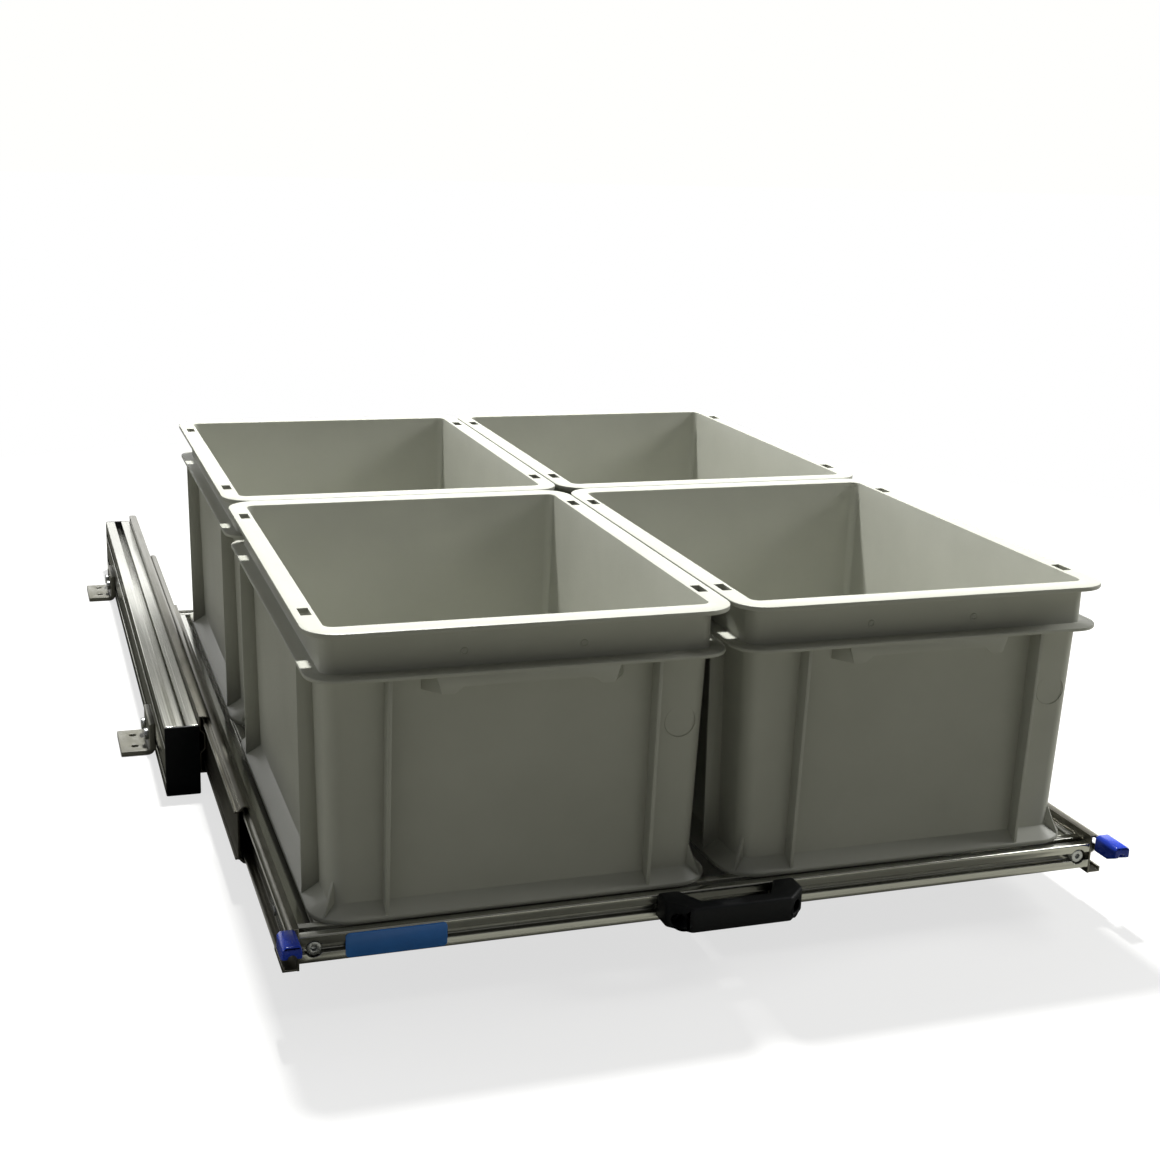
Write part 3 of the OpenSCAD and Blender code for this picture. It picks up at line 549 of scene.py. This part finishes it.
def add_ribs(mesh):
    long_rib = [(-rib_half_d, rib_low), (rib_half_d, rib_low), (rib_half_d, rib_high),
                (-rib_half_d, rib_high)]
    cross_rib = [(-rib_half_w, rib_low), (rib_half_w, rib_low), (rib_half_w, rib_high),
                 (-rib_half_w, rib_high)]
    crossways = Matrix.Rotation(math.pi / 2, 4, "Z")
    for step in range(-2, 3):
        spot = Matrix.Translation((step * rib_pitch_x * MM, 0, 0))
        plate(mesh, long_rib, rib_t, spot @ crossways, fin_edge)
        spot = Matrix.Translation((0, step * rib_pitch_y * MM, 0))
        plate(mesh, cross_rib, rib_t, spot, fin_edge)


# Pins that push the moulding out leave two small rings on the neck of each end, and an insert
# in the mould leaves a larger, fainter one high on the front wall.
pin_x = 42
pin_z = 186.3
pin_r = 2.2
pin_line = 1.3
insert_place = (116, -182.25, 123)
insert_r = 11.5
insert_line = 0.8


def ring_mark(mesh, x, y, z, radius, thickness):
    loop = bmesh.ops.create_circle(mesh, segments=8, radius=thickness / 2 * MM)["verts"]
    bmesh.ops.translate(mesh, vec=((x + radius) * MM, y * MM, z * MM), verts=loop)
    edges = list({edge for vert in loop for edge in vert.link_edges})
    bmesh.ops.spin(mesh, geom=loop + edges, cent=(x * MM, y * MM, z * MM), axis=(0, 1, 0),
                   angle=math.tau, steps=36, use_merge=True)


def add_marks(mesh):
    for y in (-neck[1], neck[1]):
        for x in (-pin_x, pin_x):
            ring_mark(mesh, x, y, pin_z, pin_r, pin_line)
    ring_mark(mesh, *insert_place, insert_r, insert_line)


# Grey polypropylene, satin from a textured mould: its grain is drawn 1.3 mm wide so that it
# shows, the shade changes slowly, and pale scuffs run along the bin's length.
bin_plastic, tree, shader, place = start_finish(
    "satin_grey_polypropylene", {"IOR": 1.49, "Specular IOR Level": 0.5})
grain = add(tree, "TexNoise", {"Vector": place, "Scale": 1 / (1.3 * MM), "Detail": 2.0,
                               "Roughness": 0.55})
clouds = add(tree, "TexNoise", {"Vector": place, "Scale": 1 / (90 * MM), "Detail": 4.0,
                                "Roughness": 0.55})
drawn = add(tree, "Mapping", {"Vector": place, "Scale": [1 / (s * MM) for s in (5, 40, 5)]})
scuffs = add(tree, "TexNoise", {"Vector": drawn, "Scale": 1.0, "Detail": 5.0, "Roughness": 0.7})
clouded = add(tree, "MapRange", {"Value": clouds, **noise_values})
grey = add(tree, "Mix", {"Factor": clouded, colour_a: tint("a6a79d"), colour_b: tint("aeafa5")},
           data_type="RGBA")
scuffed = add(tree, "MapRange", {"Value": scuffs, "From Min": 0.62, "From Max": 0.8,
                                 "To Max": 0.25})
colour = add(tree, "Mix", {"Factor": scuffed, colour_a: grey, colour_b: tint("b9bab0")},
             data_type="RGBA")
rough = add(tree, "MapRange", {"Value": grain, **noise_values, "To Min": 0.36, "To Max": 0.48})
relief = add(tree, "Bump", {"Height": grain, "Distance": 0.04 * MM})
join(tree, shader, {"Base Color": colour, "Roughness": rough, "Normal": relief})
moulding = bin_shell()
cut_lid_slots(moulding)
add_fins(moulding)
add_ribs(moulding)
add_marks(moulding)
bmesh.ops.recalc_face_normals(moulding, faces=moulding.faces)
for node in ("front_left_bin", "front_right_bin", "rear_left_bin", "rear_right_bin"):
    low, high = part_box(node)
    mesh = moulding.copy()
    bmesh.ops.translate(mesh, vec=((low[0] + high[0]) / 2, (low[1] + high[1]) / 2, low[2]),
                        verts=mesh.verts)
    make_piece(node + "_moulding", mesh, bin_plastic, node)
moulding.free()

# Floor and light
# A plain pale floor, a white backdrop and a grey ceiling, in a room that is dim in front. One
# lamp stands above and behind, so that the rims are bright and the faces towards the camera
# are dark, and two weaker ones, left and right, show the sides.
floor_size = 30.0
mesh = bmesh.new()
bmesh.ops.create_grid(mesh, x_segments=1, y_segments=1, size=floor_size / 2)
floor_data = bpy.data.meshes.new("floor")
mesh.to_mesh(floor_data)
mesh.free()
floor = bpy.data.objects.new("floor", floor_data)
bpy.context.scene.collection.objects.link(floor)

# The floor lights the object as a mid grey. Metal sees it grow dark from under the drawer's
# left side to the left beam and stay dark beyond it, and the camera sees it pale.
floor_finish, tree, shader, place = start_finish(
    "pale_floor", {"Roughness": 0.9, "Specular IOR Level": 0.1})
ray = add(tree, "LightPath")
axes = add(tree, "SeparateXYZ", {"Vector": place})
rightwards = add(tree, "MapRange", {"Value": axes.outputs["X"], "From Min": -0.33,
                                    "From Max": -0.24})
mirrored = add(tree, "Mix", {"Factor": rightwards, colour_a: tint("30302b"),
                             colour_b: tint("92928a")}, data_type="RGBA")
grey = add(tree, "Mix", {"Factor": ray.outputs["Is Glossy Ray"], colour_a: tint("84847c"),
                         colour_b: mirrored}, data_type="RGBA")
colour = add(tree, "Mix", {"Factor": ray.outputs["Is Camera Ray"], colour_a: grey,
                           colour_b: tint("efefed")}, data_type="RGBA")
join(tree, shader, {"Base Color": colour})

# To the camera it turns white within 1.5 m and keeps only part of each shadow near the object,
# but under the middle of the drawer it keeps all of it.
shade_y = -0.15
distance = add(tree, "VectorMath", {0: place}, operation="LENGTH").outputs["Value"]
whiteness = add(tree, "MapRange", {"Value": distance, "From Min": 0.7, "From Max": 1.5,
                                   "To Min": 0.7, "To Max": 1.0})
across = add(tree, "Math", {0: axes.outputs["X"]}, operation="ABSOLUTE")
across = add(tree, "MapRange", {"Value": across, "From Min": 0.26, "From Max": 0.28})
along = add(tree, "Math", {0: axes.outputs["Y"], 1: shade_y}, operation="SUBTRACT")
along = add(tree, "Math", {0: along}, operation="ABSOLUTE")
along = add(tree, "MapRange", {"Value": along, "From Min": 0.31, "From Max": 0.34})
outside = add(tree, "Math", {0: across, 1: along}, operation="MAXIMUM")
whiteness = add(tree, "Math", {0: whiteness, 1: outside}, operation="MULTIPLY")
whiteness = add(tree, "Math", {0: whiteness, 1: ray.outputs["Is Camera Ray"]},
                operation="MULTIPLY")
white = add(tree, "Emission", {"Color": (1.0, 1.0, 1.0, 1.0), "Strength": 1.0})
surface = add(tree, "MixShader", {0: whiteness, 1: shader, 2: white})
join(tree, tree.nodes["Material Output"], {"Surface": surface})
floor_data.materials.append(floor_finish)

# The air is bright towards the backdrop and dim behind the camera. Its light falls off above
# the backdrop's edge, about 17 degrees up, and metal sees that edge sharper and the left side
# darker. To the camera it is plain white.
world = bpy.data.worlds.new("studio_air")
bpy.context.scene.world = world
world.use_nodes = True
tree = world.node_tree
ray = add(tree, "LightPath")
towards = add(tree, "TexCoord").outputs["Generated"]
bright_side = (-0.22, 0.7, 0.68)
facing = add(tree, "VectorMath", {0: towards, 1: bright_side},
             operation="DOT_PRODUCT").outputs["Value"]
backdrop = add(tree, "MapRange", {"Value": facing, "From Min": -0.3, "From Max": 0.55,
                                  "To Min": 0.2, "To Max": 1.15})
axes = add(tree, "SeparateXYZ", {"Vector": towards})
ceiling = add(tree, "MapRange", {"Value": axes.outputs["Z"], "From Min": 0.27, "From Max": 0.36,
                                 "To Min": 0.45, "To Max": 0.18})
lit = add(tree, "Math", {0: backdrop, 1: ceiling}, operation="MULTIPLY")
above = add(tree, "MapRange", {"Value": axes.outputs["Z"], "From Min": 0.275, "From Max": 0.305,
                               "To Min": 1.8, "To Max": 0.27})
sideways = add(tree, "MapRange", {"Value": axes.outputs["X"], "From Min": -0.8,
                                  "From Max": -0.25, "To Min": 0.3, "To Max": 1.0})
mirrored = add(tree, "Math", {0: backdrop, 1: above}, operation="MULTIPLY")
mirrored = add(tree, "Math", {0: mirrored, 1: sideways}, operation="MULTIPLY")
shiny = add(tree, "Math", {0: ray.outputs["Is Glossy Ray"], 1: ray.outputs["Is Transmission Ray"]},
            operation="MAXIMUM")
level = add(tree, "Mix", {"Factor": shiny, "A": lit, "B": mirrored})
level = add(tree, "Mix", {"Factor": ray.outputs["Is Camera Ray"], "A": level, "B": 1.0})
join(tree, tree.nodes["Background"], {"Strength": level, "Color": (1.0, 1.0, 0.985, 1.0)})


def lamp(name, place, aim, size, power, colour):
    data = bpy.data.lights.new(name, "AREA")
    data.shape = "DISK"
    data.size = size
    data.energy = power
    data.color = colour
    light = bpy.data.objects.new(name, data)
    light.location = place
    light.rotation_euler = (Vector(aim) - Vector(place)).to_track_quat("-Z", "Y").to_euler()
    bpy.context.scene.collection.objects.link(light)


lamp("back_lamp", (0.15, 1.25, 4.0), (0, 0, 0.1), 0.4, 385, (1.0, 0.998, 0.98))
lamp("left_lamp", (-3.2, 0.2, 1.1), (0, 0, 0.15), 2.0, 6, (0.99, 1.0, 0.97))
lamp("right_lamp", (2.6, -0.45, 1.7), (0, 0, 0.1), 1.2, 50, (1.0, 1.0, 0.98))
bpy.context.scene.view_settings.view_transform = "Standard"
